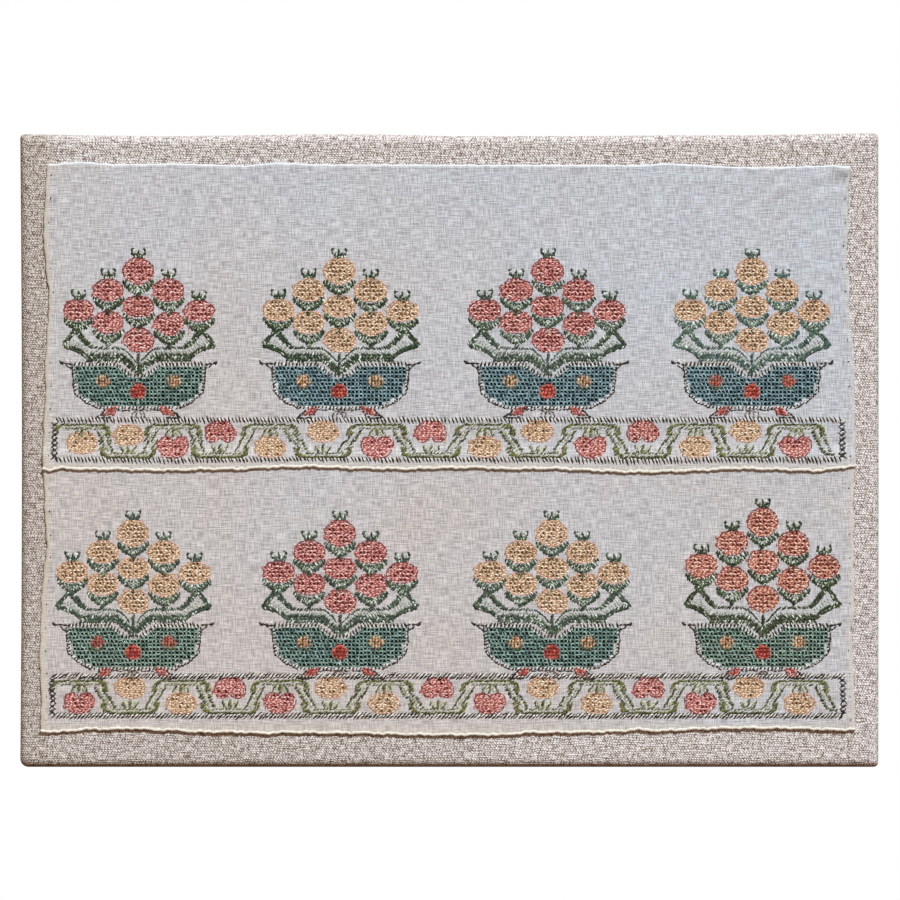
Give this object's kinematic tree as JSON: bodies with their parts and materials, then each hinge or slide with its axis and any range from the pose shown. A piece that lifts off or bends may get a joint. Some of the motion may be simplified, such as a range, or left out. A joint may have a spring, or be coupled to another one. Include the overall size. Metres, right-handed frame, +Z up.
{
  "type": "embroidered textile panel on a linen-covered stretcher frame",
  "caption": "Flat linen-covered stretcher frame with embroidered towel strips sewn on its front, showing footed bowls of fruit over fruiting vine borders; stands on edge or hangs.",
  "frame": {"origin": "middle of the panel's footprint, at the level that its lower edge rests on", "axes": "+X to the viewer's right, -Y out of the embroidered front, +Z up"},
  "size_m": [0.53, 0.0316, 0.391],
  "materials": {
    "planed_pine": "bare planed wood",
    "backing_linen": "coarse slubbed plain weave",
    "towel_cloth": "fine uneven plain weave with rolled cream hems",
    "embroidery_floss": "counted silk and cotton floss in rose, peach, teal, olive and brown"
  },
  "bodies": {
    "root": {"bar_bottom": "planed_pine", "bar_top": "planed_pine", "bar_left": "planed_pine", "bar_right": "planed_pine", "linen_cover": "backing_linen", "lower_cloth": "towel_cloth", "upper_cloth": "towel_cloth"}
  },
  "joints": []
}
